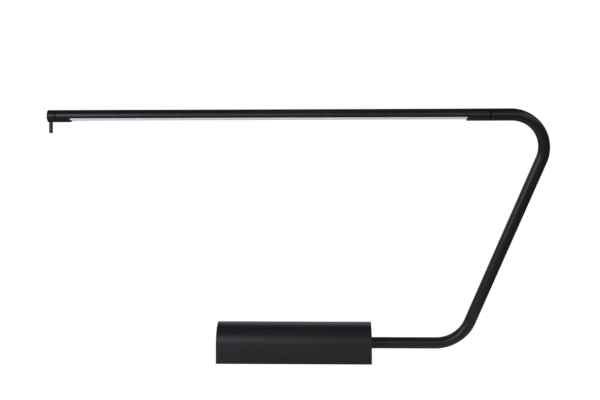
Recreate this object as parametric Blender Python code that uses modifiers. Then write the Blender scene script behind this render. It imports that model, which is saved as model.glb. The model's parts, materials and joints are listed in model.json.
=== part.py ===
"""A picture light: a D-section base, a bent tube arm that swings on it, a lamp bar that turns on the
arm's end, and a lever dimmer on the bar's free end.

Metres, +Z up. The base's flat wall face lies on Z = 0 with the origin at its centre. +X runs along the base
towards the arm, and the arm leans towards -Y. Each piece of the real object is one object here.
"""

import math

import bmesh
import bpy
from mathutils import Matrix

MM = 0.001

# Driving dimensions
TUBE_RADIUS = 6.35 * MM
TUBE_WALL = 1.2 * MM
BASE_LENGTH = 170 * MM
BASE_RADIUS = 23 * MM
PIVOT_Z = 20 * MM
COVER_WALL = 2 * MM
PLATE_THICKNESS = 2.5 * MM
END_PLATE_THICKNESS = 6 * MM
GAP = 0.3 * MM
THIN_GAP = 0.15 * MM

# The arm, measured in its own plane from the base's right end. Each bend is flattened on its outer side:
# at its middle the tube is thinner by this share of its diameter.
ARM_RUN = 72.4 * MM
LOWER_BEND_RADIUS = 38.1 * MM
LEG_LENGTH = 194 * MM
UPPER_BEND_RADIUS = 35.5 * MM
LEG_ANGLE = math.radians(70)
ARM_LEAN = math.radians(15)
LOWER_BEND_SQUEEZE = 0.04
UPPER_BEND_SQUEEZE = 0.068

# The lamp bar, along X
SWIVEL_X = 203.6 * MM
SWIVEL_GAP = 1.9 * MM
KNOB_JOINT_X = -245.8 * MM
KNOB_GAP = 0.9 * MM
HOUSING_WALL = 1.1 * MM
NOTCH_LEFT = -230.7 * MM
NOTCH_RIGHT = 180.1 * MM
NOTCH_DEPTH_Z = -2.75 * MM
DIFFUSER_BOTTOM_Z = -4.35 * MM
LED_PITCH = 12 * MM
LED_COUNT = 33
BOARD_TOP = 0.6 * MM
BOARD_BOTTOM = -0.4 * MM
KNOB_LENGTH = 8.3 * MM
KNOB_CHAMFER = 0.35 * MM
CAP_END_THICKNESS = 1 * MM
JOINT_WASHER_RADIUS = 6.3 * MM
SHAFT_RADIUS = 2 * MM
LEVER_INSET = 2.7 * MM
LEVER_RADIUS = 1.95 * MM
LEVER_STUD_RADIUS = 1.25 * MM
LEVER_REACH = 17.6 * MM
LEVER_EDGE = 0.6 * MM

# Worked out from them
BASE_END = BASE_LENGTH / 2
INNER_RADIUS = BASE_RADIUS - COVER_WALL
BORE_RADIUS = TUBE_RADIUS - TUBE_WALL
HOUSING_BORE = TUBE_RADIUS - HOUSING_WALL
HOUSING_RIGHT = SWIVEL_X - SWIVEL_GAP / 2
HOUSING_LEFT = KNOB_JOINT_X + KNOB_GAP / 2
TUBE_TOP_END = SWIVEL_X + SWIVEL_GAP / 2
KNOB_RIGHT = KNOB_JOINT_X - KNOB_GAP / 2 + THIN_GAP
KNOB_LEFT = KNOB_RIGHT - KNOB_LENGTH

# Places along the base
TUBE_INNER_END = 31.5 * MM
BRACKET_X = 41 * MM
BRACKET_THICKNESS = 3 * MM
STOP_PIN_X = 48.6 * MM
STOP_POST_TOP = PIVOT_Z - 1.8 * MM
KEYHOLE_XS = (-68 * MM, 68 * MM)
CABLE_ENTRY_X = -52 * MM
TERMINAL_X = -35 * MM
DRIVER_X = 2 * MM
SCREW_RADIUS = 1.5 * MM
BUSH_RADIUS = 7.8 * MM
BUSH_FLANGE_RADIUS = 9.5 * MM
GROMMET_RADIUS = 5 * MM
TERMINAL_YS = (-6 * MM, 0, 6 * MM)
LEAD_Z = 8 * MM
COVER_SCREW_Z = 11 * MM
COVER_SCREW_TURN = (math.radians(-90), 0, 0)
UPSIDE_DOWN = (math.radians(180), 0, 0)
END_SCREW_YS = (-9 * MM, 9 * MM)
EARTH_SCREW = (-60 * MM, 13 * MM)
TERMINAL_SCREWS = ((TERMINAL_X, -12 * MM), (TERMINAL_X, 12 * MM))
DRIVER_SCREWS = ((DRIVER_X - 23.5 * MM, 11 * MM), (DRIVER_X + 23.5 * MM, -11 * MM))
BRACKET_SCREWS = ((55.5 * MM, -10 * MM), (55.5 * MM, 10 * MM))
TAPPED_HOLES = (EARTH_SCREW, *TERMINAL_SCREWS, *DRIVER_SCREWS, *BRACKET_SCREWS)

COLLECTION = "picture_light"
ROUND_STEPS = 24
FINE_STEPS = 32


def clear_scene():
    for obj in list(bpy.data.objects):
        bpy.data.objects.remove(obj, do_unlink=True)


def new_collection(name):
    collection = bpy.data.collections.new(name)
    bpy.context.scene.collection.children.link(collection)
    return collection


def new_material(name, color, metallic, roughness):
    material = bpy.data.materials.new(name)
    material.use_nodes = True
    shader = material.node_tree.nodes["Principled BSDF"]
    shader.inputs["Base Color"].default_value = (*color, 1.0)
    shader.inputs["Metallic"].default_value = metallic
    shader.inputs["Roughness"].default_value = roughness
    return material


FINISHES = {
    "black_coat": ((0.018, 0.018, 0.021), 0.3, 0.42),
    "black_steel": ((0.03, 0.03, 0.032), 0.6, 0.5),
    "zinc_steel": ((0.55, 0.56, 0.57), 0.9, 0.35),
    "bright_steel": ((0.62, 0.62, 0.63), 1.0, 0.3),
    "brass": ((0.75, 0.58, 0.28), 1.0, 0.3),
    "aluminium": ((0.72, 0.73, 0.74), 1.0, 0.35),
    "opal": ((0.86, 0.86, 0.87), 0.0, 0.35),
    "board": ((0.9, 0.9, 0.88), 0.0, 0.5),
    "bronze_bush": ((0.5, 0.36, 0.2), 0.9, 0.45),
    "black_rubber": ((0.02, 0.02, 0.02), 0.0, 0.85),
    "fibre": ((0.35, 0.12, 0.07), 0.0, 0.75),
    "white_plastic": ((0.8, 0.8, 0.78), 0.0, 0.5),
    "grey_plastic": ((0.3, 0.3, 0.31), 0.0, 0.6),
    "brown_lead": ((0.25, 0.12, 0.06), 0.0, 0.6),
    "blue_lead": ((0.05, 0.15, 0.45), 0.0, 0.6),
    "green_lead": ((0.12, 0.4, 0.1), 0.0, 0.6),
}


def finish(obj, kind):
    """Gives the object a Principled material of its own."""
    obj.data.materials.clear()
    obj.data.materials.append(new_material(f"{obj.name}_{kind}", *FINISHES[kind]))


def place(obj, parent, location=(0, 0, 0), rotation=(0, 0, 0)):
    obj.parent = parent
    obj.location = location
    obj.rotation_euler = rotation
    return obj


def smooth(mesh):
    mesh.shade_smooth()
    mesh.set_sharp_from_angle(angle=math.radians(30))


# Rotations that lay a piece's own Z along the world's X: a turned piece, and an outline drawn as (y, z).
TURNED_ALONG_X = (0, math.radians(90), 0)
SECTION_ALONG_X = (math.radians(90), 0, math.radians(90))


def turned(name, kind, profile, closed, steps=ROUND_STEPS):
    """A profile of (radius, height) points, listed down the outer side, turned about Z."""
    mesh = bpy.data.meshes.new(name)
    work = bmesh.new()
    points = [work.verts.new((radius, 0, height)) for radius, height in profile]
    for first, second in zip(points, points[1:]):
        work.edges.new((first, second))
    if closed:
        work.edges.new((points[-1], points[0]))
    work.to_mesh(mesh)
    work.free()
    obj = bpy.data.objects.new(name, mesh)
    parts.objects.link(obj)
    screw = obj.modifiers.new("turn", "SCREW")
    screw.angle = math.tau
    screw.steps = steps
    screw.render_steps = steps
    screw.use_merge_vertices = True
    screw.merge_threshold = 1e-5
    screw.use_smooth_shade = False
    finish(obj, kind)
    return obj


def ring(name, kind, inner, outer, low, high, steps=ROUND_STEPS):
    """A plain washer, bush or tube, from low to high along its axis."""
    return turned(name, kind, ((outer, high), (outer, low), (inner, low), (inner, high)), True, steps)


def rod(name, kind, radius, low, high, steps=16):
    return turned(name, kind, ((0, high), (radius, high), (radius, low), (0, low)), False, steps)


def flanged_bush(name, kind, bore, body, flange, flange_low, body_low, body_high):
    """A bush whose flange is at its low end."""
    profile = (
        (body, body_high),
        (body, body_low),
        (flange, body_low),
        (flange, flange_low),
        (bore, flange_low),
        (bore, body_high),
    )
    return turned(name, kind, profile, True)


def screw_with_head(name, kind, head_radius, head_height, length, radius=SCREW_RADIUS):
    """A pan-head screw standing on Z = 0, its shank pointing down."""
    profile = (
        (0, head_height),
        (0.75 * head_radius, head_height),
        (head_radius, 0.55 * head_height),
        (head_radius, 0),
        (radius, 0),
        (radius, -length),
        (0, -length),
    )
    return turned(name, kind, profile, False, 16)


def countersunk_screw(name, kind, length, radius=SCREW_RADIUS):
    """A countersunk screw with its head's face on Z = 0, its shank pointing down."""
    head = 1.85 * radius
    profile = ((0, 0), (head, 0), (radius, radius - head), (radius, -length), (0, -length))
    return turned(name, kind, profile, False, 16)


def arc(centre, radius, start, end, steps):
    """Points along an arc, both ends included, the angles in degrees."""
    angles = [math.radians(start + (end - start) * i / steps) for i in range(steps + 1)]
    return [(centre[0] + radius * math.cos(a), centre[1] + radius * math.sin(a)) for a in angles]


def circle(centre, radius, steps=20):
    return arc(centre, radius, 0, 360, steps)[:-1]


def rectangle(low, high):
    return [low, (high[0], low[1]), high, (low[0], high[1])]


def as_mesh(obj):
    """The object's evaluated shape as a mesh object of the same name, with its caps welded."""
    bpy.context.view_layer.update()
    evaluated = obj.evaluated_get(bpy.context.evaluated_depsgraph_get())
    mesh = bpy.data.meshes.new_from_object(evaluated)
    work = bmesh.new()
    work.from_mesh(mesh)
    bmesh.ops.remove_doubles(work, verts=work.verts, dist=1e-7)
    bmesh.ops.recalc_face_normals(work, faces=work.faces)
    work.to_mesh(mesh)
    work.free()
    name = obj.name
    matrix = obj.matrix_world.copy()
    bpy.data.objects.remove(obj, do_unlink=True)
    mesh.name = name
    solid = bpy.data.objects.new(name, mesh)
    parts.objects.link(solid)
    solid.matrix_world = matrix
    return solid


def extruded(name, kind, outlines, low, high):
    """Flat outlines, the later ones holes in the first, extruded from low to high along Z."""
    curve = bpy.data.curves.new(name, "CURVE")
    curve.dimensions = "2D"
    curve.fill_mode = "BOTH"
    curve.extrude = (high - low) / 2
    for outline in outlines:
        spline = curve.splines.new("POLY")
        spline.points.add(len(outline) - 1)
        for point, (x, y) in zip(spline.points, outline):
            point.co = (x, y, 0, 1)
        spline.use_cyclic_u = True
    flat = bpy.data.objects.new(name, curve)
    parts.objects.link(flat)
    solid = as_mesh(flat)
    solid.data.transform(Matrix.Translation((0, 0, (low + high) / 2)))
    finish(solid, kind)
    return solid


def block(name, kind, low, high):
    return extruded(name, kind, [rectangle(low[:2], high[:2])], low[2], high[2])


def swept(name, kind, path, radius, resolution, widths=None):
    """A round bar along a path, with filled ends."""
    curve = bpy.data.curves.new(name, "CURVE")
    curve.dimensions = "3D"
    curve.bevel_depth = radius
    curve.bevel_resolution = resolution
    curve.use_fill_caps = True
    spline = curve.splines.new("POLY")
    spline.points.add(len(path) - 1)
    for i, point in enumerate(path):
        spline.points[i].co = (*point, 1)
        spline.points[i].radius = widths[i] if widths else 1.0
    obj = bpy.data.objects.new(name, curve)
    parts.objects.link(obj)
    finish(obj, kind)
    return obj


def combine(obj, tool, operation):
    """Cuts the tool from the object, or joins it on, in the object's own place."""
    parts.objects.unlink(tool)
    cutters.objects.link(tool)
    tool.name = f"{obj.name}_{operation.lower()}"
    tool.hide_render = True
    tool.display_type = "WIRE"
    boolean = obj.modifiers.new(operation.lower(), "BOOLEAN")
    boolean.operation = operation
    boolean.object = tool
    return tool


def empty(name, parent, location, rotation=(0, 0, 0)):
    obj = bpy.data.objects.new(name, None)
    parts.objects.link(obj)
    return place(obj, parent, location, rotation)


def d_outline(radius, bottom, steps=32):
    """A flat bottom, upright sides and a round top about the pivot's height."""
    return [(-radius, bottom), (radius, bottom)] + arc((0, PIVOT_Z), radius, 0, 180, steps)


# Base


def base_cover():
    outer = arc((0, PIVOT_Z), BASE_RADIUS, 0, 180, 40)
    inner = arc((0, PIVOT_Z), INNER_RADIUS, 180, 0, 40)
    outline = [(BASE_RADIUS, 0)] + outer + [(-BASE_RADIUS, 0), (-INNER_RADIUS, 0)] + inner
    outline.append((INNER_RADIUS, 0))
    cover = extruded("base_cover", "black_coat", [outline], -BASE_END, BASE_END)
    place(cover, None, rotation=SECTION_ALONG_X)
    for side in (-1, 1):
        # A countersunk hole in the back wall for the screw into each end plate
        hole = countersunk_screw("hole", "black_steel", 6 * MM, SCREW_RADIUS + GAP)
        place(hole, None, cover_screw_place(side, GAP), COVER_SCREW_TURN)
        combine(cover, hole, "DIFFERENCE")


def cover_screw_place(side, proud=0.0):
    x = side * (BASE_END - GAP - END_PLATE_THICKNESS / 2)
    return (x, BASE_RADIUS + proud, COVER_SCREW_Z)


def cover_screws():
    for side, word in ((-1, "left"), (1, "right")):
        screw = countersunk_screw(f"cover_screw_{word}", "black_steel", 5.5 * MM)
        place(screw, None, cover_screw_place(side, -GAP / 2), COVER_SCREW_TURN)


def end_plates():
    radius = INNER_RADIUS - GAP
    bottom = PLATE_THICKNESS + GAP
    low = BASE_END - GAP - END_PLATE_THICKNESS
    high = BASE_END - GAP
    left = extruded("end_plate_left", "black_coat", [d_outline(radius, bottom)], -high, -low)
    bore = circle((0, PIVOT_Z), BUSH_RADIUS + GAP, ROUND_STEPS)
    right = extruded("end_plate_right", "black_coat", [d_outline(radius, bottom), bore], low, high)
    for plate, side in ((left, -1), (right, 1)):
        place(plate, None, rotation=SECTION_ALONG_X)
        side_hole = rod("hole", "black_steel", SCREW_RADIUS + GAP, -6.5 * MM, 0)
        place(side_hole, None, cover_screw_place(side), COVER_SCREW_TURN)
        combine(plate, side_hole, "DIFFERENCE")
        for y in END_SCREW_YS:
            hole = rod("hole", "black_steel", SCREW_RADIUS + GAP, -1 * MM, 9 * MM)
            place(hole, None, (end_screw_x(side), y, 0))
            combine(plate, hole, "DIFFERENCE")


def end_screw_x(side):
    return side * (BASE_END - GAP - END_PLATE_THICKNESS / 2)


def end_plate_screws():
    """Countersunk from below, through the mounting plate, up into the end plates."""
    for side, word in ((-1, "left"), (1, "right")):
        for y, end in zip(END_SCREW_YS, ("front", "back")):
            screw = countersunk_screw(f"end_plate_screw_{word}_{end}", "zinc_steel", 8 * MM)
            place(screw, None, (end_screw_x(side), y, GAP), UPSIDE_DOWN)


def keyhole(x):
    """A round hole for a screw's head with a slot for its shank running to +Y."""
    head, slot, reach = 4.5 * MM, 2.4 * MM, 8 * MM
    meet = math.degrees(math.asin(slot / head))
    centre = (x, -3 * MM)
    outline = arc(centre, head, 90 + meet, 450 - meet, 20)
    return outline + arc((x, centre[1] + reach), slot, 0, 180, 8)


def mounting_plate():
    half_length = BASE_END - 0.5 * MM
    half_width = INNER_RADIUS - GAP
    outlines = [rectangle((-half_length, -half_width), (half_length, half_width))]
    outlines += [keyhole(x) for x in KEYHOLE_XS]
    outlines.append(circle((CABLE_ENTRY_X, 0), GROMMET_RADIUS + GAP))
    for x, y in TAPPED_HOLES:
        outlines.append(circle((x, y), SCREW_RADIUS + GAP, 10))
    plate = extruded("mounting_plate", "zinc_steel", outlines, 0, PLATE_THICKNESS)
    for side in (-1, 1):
        for y in END_SCREW_YS:
            hole = countersunk_screw("hole", "zinc_steel", 6 * MM, SCREW_RADIUS + GAP)
            place(hole, None, (end_screw_x(side), y, -GAP / 2), UPSIDE_DOWN)
            combine(plate, hole, "DIFFERENCE")


def cable_grommet():
    grommet = flanged_bush(
        "cable_grommet",
        "black_rubber",
        3.6 * MM,
        GROMMET_RADIUS,
        6.6 * MM,
        -4.3 * MM,
        -PLATE_THICKNESS - GAP,
        -GAP,
    )
    place(grommet, None, (CABLE_ENTRY_X, 0, 0), UPSIDE_DOWN)


def terminal_block():
    """A three-way block: a body with three funnels on each side and three screw wells on top."""
    low = (TERMINAL_X - 7 * MM, -16 * MM, PLATE_THICKNESS + GAP)
    high = (TERMINAL_X + 7 * MM, 16 * MM, PLATE_THICKNESS + 12 * MM)
    body = block("terminal_block", "white_plastic", low, high)
    for y in TERMINAL_YS:
        well = rod("well", "white_plastic", 1.9 * MM, high[2] - 3 * MM, high[2] + 1 * MM, 12)
        place(well, None, (TERMINAL_X, y, 0))
        combine(body, well, "DIFFERENCE")
        for side in (-1, 1):
            funnel = rod("funnel", "white_plastic", 1.6 * MM, -3 * MM, 1 * MM, 12)
            turn = (0, side * math.radians(90), 0)
            place(funnel, None, (TERMINAL_X + side * 7 * MM, y, LEAD_Z), turn)
            combine(body, funnel, "DIFFERENCE")
    for _, y in TERMINAL_SCREWS:
        hole = rod("hole", "white_plastic", SCREW_RADIUS + GAP, 0, 20 * MM, 12)
        place(hole, None, (TERMINAL_X, y, 0))
        combine(body, hole, "DIFFERENCE")


def terminal_screws():
    for (x, y), word in zip(TERMINAL_SCREWS, ("front", "back")):
        screw = screw_with_head(f"terminal_screw_{word}", "zinc_steel", 2.7 * MM, 2 * MM, 14 * MM)
        place(screw, None, (x, y, PLATE_THICKNESS + 12.3 * MM))


def led_driver():
    """The driver's case, with two fixing ears at opposite corners and the output socket on top."""
    bottom = PLATE_THICKNESS + GAP
    body = block(
        "led_driver",
        "white_plastic",
        (DRIVER_X - 20 * MM, -15 * MM, bottom),
        (DRIVER_X + 20 * MM, 15 * MM, 20 * MM),
    )
    bevel = body.modifiers.new("edges", "BEVEL")
    bevel.width = 1 * MM
    bevel.segments = 2
    bevel.limit_method = "ANGLE"
    for x, y in DRIVER_SCREWS:
        reach = math.copysign(6 * MM, DRIVER_X - x)
        xs = sorted((x - reach * 0.6, x + reach))
        ear = block("ear", "white_plastic", (xs[0], y - 3.5 * MM, bottom), (xs[1], y + 3.5 * MM, 5 * MM))
        combine(body, ear, "UNION")
        hole = rod("hole", "white_plastic", SCREW_RADIUS + GAP, 0, 7 * MM, 12)
        place(hole, None, (x, y, 0))
        combine(body, hole, "DIFFERENCE")
    socket = block(
        "socket",
        "white_plastic",
        (DRIVER_X + 12 * MM, -4 * MM, PIVOT_Z - 3.5 * MM),
        (DRIVER_X + 25.5 * MM, 4 * MM, PIVOT_Z + 3.5 * MM),
    )
    combine(body, socket, "UNION")


def driver_screws():
    for (x, y), word in zip(DRIVER_SCREWS, ("left", "right")):
        screw = screw_with_head(f"driver_screw_{word}", "zinc_steel", 2.7 * MM, 2 * MM, 5 * MM)
        place(screw, None, (x, y, 5 * MM + GAP))


def inner_leads():
    """The live and neutral leads from the terminals to the driver, and the earth lead to its screw."""
    start = TERMINAL_X + 7 * MM + GAP
    end = DRIVER_X - 20 * MM - GAP
    for name, kind, y in (("live_lead", "brown_lead", -6 * MM), ("neutral_lead", "blue_lead", 0)):
        path = [(start + (end - start) * i / 6, y, LEAD_Z) for i in range(7)]
        swept(name, kind, path, 0.9 * MM, 2)
    start_x, start_y = TERMINAL_X - 7 * MM - GAP, TERMINAL_YS[-1]
    end_x, end_y = EARTH_SCREW[0] + 6 * MM, EARTH_SCREW[1]
    drop = 3 * MM
    path = []
    for i in range(13):
        t = i / 12
        ease = t * t * (3 - 2 * t)
        x = start_x + (end_x - start_x) * t
        y = start_y + (end_y - start_y) * ease
        path.append((x, y, LEAD_Z - drop * ease))
    swept("earth_lead", "green_lead", path, 0.9 * MM, 2)


def earth_screw():
    """The screw and the ring terminal that it clamps."""
    x, y = EARTH_SCREW
    screw = screw_with_head("earth_screw", "brass", 3 * MM, 2.2 * MM, 4.5 * MM)
    place(screw, None, (x, y, PLATE_THICKNESS + 1.7 * MM))
    tag = extruded(
        "earth_tag",
        "bright_steel",
        [
            arc((0, 0), 3.2 * MM, 28, 332, 24) + rectangle((3.5 * MM, -1.5 * MM), (6 * MM, 1.5 * MM))[1:3],
            circle((0, 0), SCREW_RADIUS + GAP, 16),
        ],
        PLATE_THICKNESS + GAP,
        PLATE_THICKNESS + 1.3 * MM,
    )
    place(tag, None, (x, y, 0))


def pivot_bracket():
    """A foot, an upright with the inner bush's bore, and the two posts that stop the arm's pin."""
    bottom = PLATE_THICKNESS + GAP
    foot_top = bottom + 2.5 * MM
    upright = extruded(
        "pivot_bracket",
        "black_steel",
        [
            [(-16 * MM, bottom), (16 * MM, bottom), (16 * MM, PIVOT_Z)]
            + arc((0, PIVOT_Z), 12 * MM, 20, 160, 16)
            + [(-16 * MM, PIVOT_Z)],
            circle((0, PIVOT_Z), BUSH_RADIUS + GAP, ROUND_STEPS),
        ],
        BRACKET_X,
        BRACKET_X + BRACKET_THICKNESS,
    )
    place(upright, None, rotation=SECTION_ALONG_X)
    foot = block(
        "foot",
        "black_steel",
        (BRACKET_X + 1 * MM, -16 * MM, bottom),
        (60 * MM, 16 * MM, foot_top),
    )
    combine(upright, foot, "UNION")
    for side in (-1, 1):
        ys = sorted((side * 10.8 * MM, side * 15.8 * MM))
        post = block(
            "post",
            "black_steel",
            (STOP_PIN_X - 2 * MM, ys[0], foot_top - 1 * MM),
            (STOP_PIN_X + 2 * MM, ys[1], STOP_POST_TOP),
        )
        combine(upright, post, "UNION")
    for x, y in BRACKET_SCREWS:
        hole = rod("hole", "black_steel", SCREW_RADIUS + GAP, 0, 8 * MM, 16)
        place(hole, None, (x, y, 0))
        combine(upright, hole, "DIFFERENCE")


def bracket_screws():
    for (x, y), word in zip(BRACKET_SCREWS, ("front", "back")):
        screw = screw_with_head(f"bracket_screw_{word}", "zinc_steel", 2.8 * MM, 2.2 * MM, 5 * MM)
        place(screw, None, (x, y, PLATE_THICKNESS + 2.8 * MM + GAP))


def pivot_bushes():
    bore = TUBE_RADIUS + GAP
    low = BASE_END - GAP - END_PLATE_THICKNESS
    outer = flanged_bush(
        "pivot_bush_outer",
        "bronze_bush",
        bore,
        BUSH_RADIUS,
        BUSH_FLANGE_RADIUS,
        low - 2 * MM,
        low - GAP,
        BASE_END - 2 * GAP,
    )
    inner = flanged_bush(
        "pivot_bush_inner",
        "bronze_bush",
        bore,
        BUSH_RADIUS,
        BUSH_FLANGE_RADIUS,
        BRACKET_X - 1.6 * MM,
        BRACKET_X - GAP,
        BRACKET_X + BRACKET_THICKNESS,
    )
    for bush in (outer, inner):
        place(bush, None, (0, 0, PIVOT_Z), TURNED_ALONG_X)


# Arm, in the upright plane through its pivot: u to the right from the base's end, v up


def arm_centreline(start, end):
    """(u, v, width) along the tube's middle, the width a little under 1 where a bend flattens it."""
    line = [(start, 0.0, 1.0), (ARM_RUN, 0.0, 1.0)]
    lower_steps, upper_steps = 9, 13
    for i in range(1, lower_steps + 1):
        t = i / lower_steps
        angle = LEG_ANGLE * t
        squeeze = LOWER_BEND_SQUEEZE * math.sin(math.pi * t)
        radius = LOWER_BEND_RADIUS - TUBE_RADIUS * squeeze
        u = ARM_RUN + radius * math.sin(angle)
        line.append((u, LOWER_BEND_RADIUS - radius * math.cos(angle), 1 - squeeze))
    u, v, _ = line[-1]
    u += LEG_LENGTH * math.cos(LEG_ANGLE)
    v += LEG_LENGTH * math.sin(LEG_ANGLE)
    line.append((u, v, 1.0))
    centre = (u - UPPER_BEND_RADIUS * math.sin(LEG_ANGLE), v + UPPER_BEND_RADIUS * math.cos(LEG_ANGLE))
    for i in range(1, upper_steps + 1):
        t = i / upper_steps
        angle = LEG_ANGLE + (math.pi - LEG_ANGLE) * t
        squeeze = UPPER_BEND_SQUEEZE * math.sin(math.pi * t)
        radius = UPPER_BEND_RADIUS - TUBE_RADIUS * squeeze
        u = centre[0] + radius * math.sin(angle)
        line.append((u, centre[1] - radius * math.cos(angle), 1 - squeeze))
    line.append((end, line[-1][1], 1.0))
    return line


def bar_height():
    """The lamp bar's axis above the pivot, measured up the arm's plane."""
    return arm_centreline(0, 0)[-1][1]


def arm_tube(arm):
    """The bent tube: an open sweep, thickened inwards."""
    line = arm_centreline(TUBE_INNER_END - BASE_END, TUBE_TOP_END - BASE_END)
    path = [(BASE_END + u, 0, v) for u, v, _ in line]
    tube = swept("arm_tube", "black_coat", path, TUBE_RADIUS, 9, [width for _, _, width in line])
    tube.data.use_fill_caps = False
    wall = tube.modifiers.new("wall", "SOLIDIFY")
    wall.thickness = TUBE_WALL
    wall.offset = -1
    place(tube, arm)


def arm_cable(arm):
    start = DRIVER_X + 26 * MM
    line = arm_centreline(start - BASE_END, SWIVEL_X - 14 * MM - BASE_END)
    path = [(BASE_END + u, 0, v) for u, v, _ in line]
    place(swept("arm_cable", "grey_plastic", path, 1.9 * MM, 2), arm)


def arm_pivot_parts(arm):
    """What turns with the tube inside the base: stop collar, its pin and set screw, washers and nut."""
    bore = TUBE_RADIUS + GAP
    collar_low, collar_high = STOP_PIN_X - 3 * MM, STOP_PIN_X + 3 * MM
    collar = ring("stop_collar", "black_steel", bore, 10 * MM, collar_low, collar_high)
    place(collar, arm, rotation=TURNED_ALONG_X)
    for name, side in (("stop_pin", 1), ("collar_set_screw", -1)):
        hole = rod("hole", "black_steel", 1.8 * MM, 4 * MM, 12 * MM)
        turn = (0, 0, 0) if side > 0 else UPSIDE_DOWN
        place(hole, arm, (STOP_PIN_X, 0, 0), turn)
        combine(collar, hole, "DIFFERENCE")
        reach = 15 * MM if side > 0 else 9.6 * MM
        pin = rod(name, "bright_steel", SCREW_RADIUS, TUBE_RADIUS + GAP, reach)
        place(pin, arm, (STOP_PIN_X, 0, 0), turn)
    bracket_right = BRACKET_X + BRACKET_THICKNESS
    thrust = ring("thrust_washer", "fibre", bore, BUSH_FLANGE_RADIUS, bracket_right + GAP, collar_low - GAP)
    friction_high = BRACKET_X - 1.6 * MM - GAP
    friction_low = friction_high - 0.8 * MM
    friction = ring("friction_washer", "fibre", bore, BUSH_FLANGE_RADIUS, friction_low, friction_high)
    cone_high = friction_low - GAP
    spring = turned(
        "spring_washer",
        "bright_steel",
        (
            (9.3 * MM, cone_high),
            (9.3 * MM, cone_high - 0.6 * MM),
            (bore, cone_high - 1.4 * MM),
            (bore, cone_high - 0.8 * MM),
        ),
        True,
    )
    for washer in (thrust, friction, spring):
        place(washer, arm, rotation=TURNED_ALONG_X)
    nut_high = cone_high - 1.4 * MM - GAP
    nut = extruded(
        "lock_nut",
        "zinc_steel",
        [circle((0, 0), 10.5 * MM, 6), circle((0, 0), bore, ROUND_STEPS)],
        nut_high - 3.4 * MM,
        nut_high,
    )
    place(nut, arm, rotation=SECTION_ALONG_X)


# Swivel between the arm's top end and the lamp bar, about the bar's axis


def swivel(bar_axis):
    """The spigot pressed into the tube, with the washer in the joint's gap and the circlip on its nose."""
    bore, shank, nose = 2.5 * MM, BORE_RADIUS - GAP, 3.7 * MM
    groove = 3.1 * MM
    clip_x = SWIVEL_X - 13.4 * MM
    shoulder = TUBE_TOP_END + GAP
    profile = (
        (shank, SWIVEL_X + 13 * MM),
        (shank, shoulder),
        (nose, shoulder),
        (nose, clip_x + 0.6 * MM),
        (groove, clip_x + 0.6 * MM),
        (groove, clip_x - 0.6 * MM),
        (nose, clip_x - 0.6 * MM),
        (nose, clip_x - 2 * MM),
        (bore, clip_x - 2 * MM),
        (bore, SWIVEL_X + 13 * MM),
    )
    spigot = turned("swivel_spigot", "bright_steel", profile, True)
    low, high = HOUSING_RIGHT + THIN_GAP, TUBE_TOP_END - THIN_GAP
    washer = ring("swivel_washer", "black_rubber", nose + GAP, JOINT_WASHER_RADIUS, low, high)
    for piece in (spigot, washer):
        place(piece, bar_axis, rotation=TURNED_ALONG_X)
    clip_outline = arc((0, 0), 4.7 * MM, 25, 335, 24) + arc((0, 0), groove + THIN_GAP, 335, 25, 24)
    half = 0.35 * MM
    clip = extruded("swivel_circlip", "bright_steel", [clip_outline], clip_x - half, clip_x + half)
    place(clip, bar_axis, rotation=SECTION_ALONG_X)


# Lamp bar, about its own axis, which lies along X


def bar_housing(head):
    """The bar's tube, with the notch along its underside that shows the diffuser."""
    housing = ring(
        "bar_housing", "black_coat", HOUSING_BORE, TUBE_RADIUS, HOUSING_LEFT, HOUSING_RIGHT, FINE_STEPS
    )
    place(housing, head, rotation=TURNED_ALONG_X)
    notch = block(
        "notch",
        "black_coat",
        (NOTCH_LEFT, -TUBE_RADIUS - 1 * MM, -TUBE_RADIUS - 1 * MM),
        (NOTCH_RIGHT, TUBE_RADIUS + 1 * MM, NOTCH_DEPTH_Z),
    )
    place(notch, head)
    combine(housing, notch, "DIFFERENCE")


def swivel_bush(head):
    low, high = SWIVEL_X - 12.4 * MM, HOUSING_RIGHT - GAP
    bush = ring("swivel_bush", "bronze_bush", 4 * MM, HOUSING_BORE - GAP, low, high)
    place(bush, head, rotation=TURNED_ALONG_X)


def heat_sink_bar(head):
    """A solid aluminium bar that fills the upper part of the housing's bore."""
    radius = HOUSING_BORE - GAP
    low = math.degrees(math.asin(0.9 * MM / radius))
    outline = arc((0, 0), radius, low, 180 - low, 20)
    sink = extruded("heat_sink_bar", "aluminium", [outline], NOTCH_LEFT + 4 * MM, NOTCH_RIGHT - 4 * MM)
    place(sink, head, rotation=SECTION_ALONG_X)


def led_board(head):
    """The board under the heat sink, with its row of LEDs on its lower face."""
    middle = (NOTCH_LEFT + NOTCH_RIGHT) / 2
    board = block(
        "led_board",
        "board",
        (NOTCH_LEFT + 4 * MM, -4.3 * MM, BOARD_BOTTOM),
        (NOTCH_RIGHT - 4 * MM, 4.3 * MM, BOARD_TOP),
    )
    place(board, head)
    leds = bmesh.new()
    for i in range(LED_COUNT):
        x = middle + (i - (LED_COUNT - 1) / 2) * LED_PITCH
        size = Matrix.Diagonal((3 * MM, 2.8 * MM, 0.9 * MM, 1))
        at = Matrix.Translation((x, 0, BOARD_BOTTOM - 0.25 * MM))
        bmesh.ops.create_cube(leds, size=1, matrix=at @ size)
    mesh = bpy.data.meshes.new("leds")
    leds.to_mesh(mesh)
    leds.free()
    tool = bpy.data.objects.new("leds", mesh)
    parts.objects.link(tool)
    place(tool, head)
    combine(board, tool, "UNION")


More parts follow.
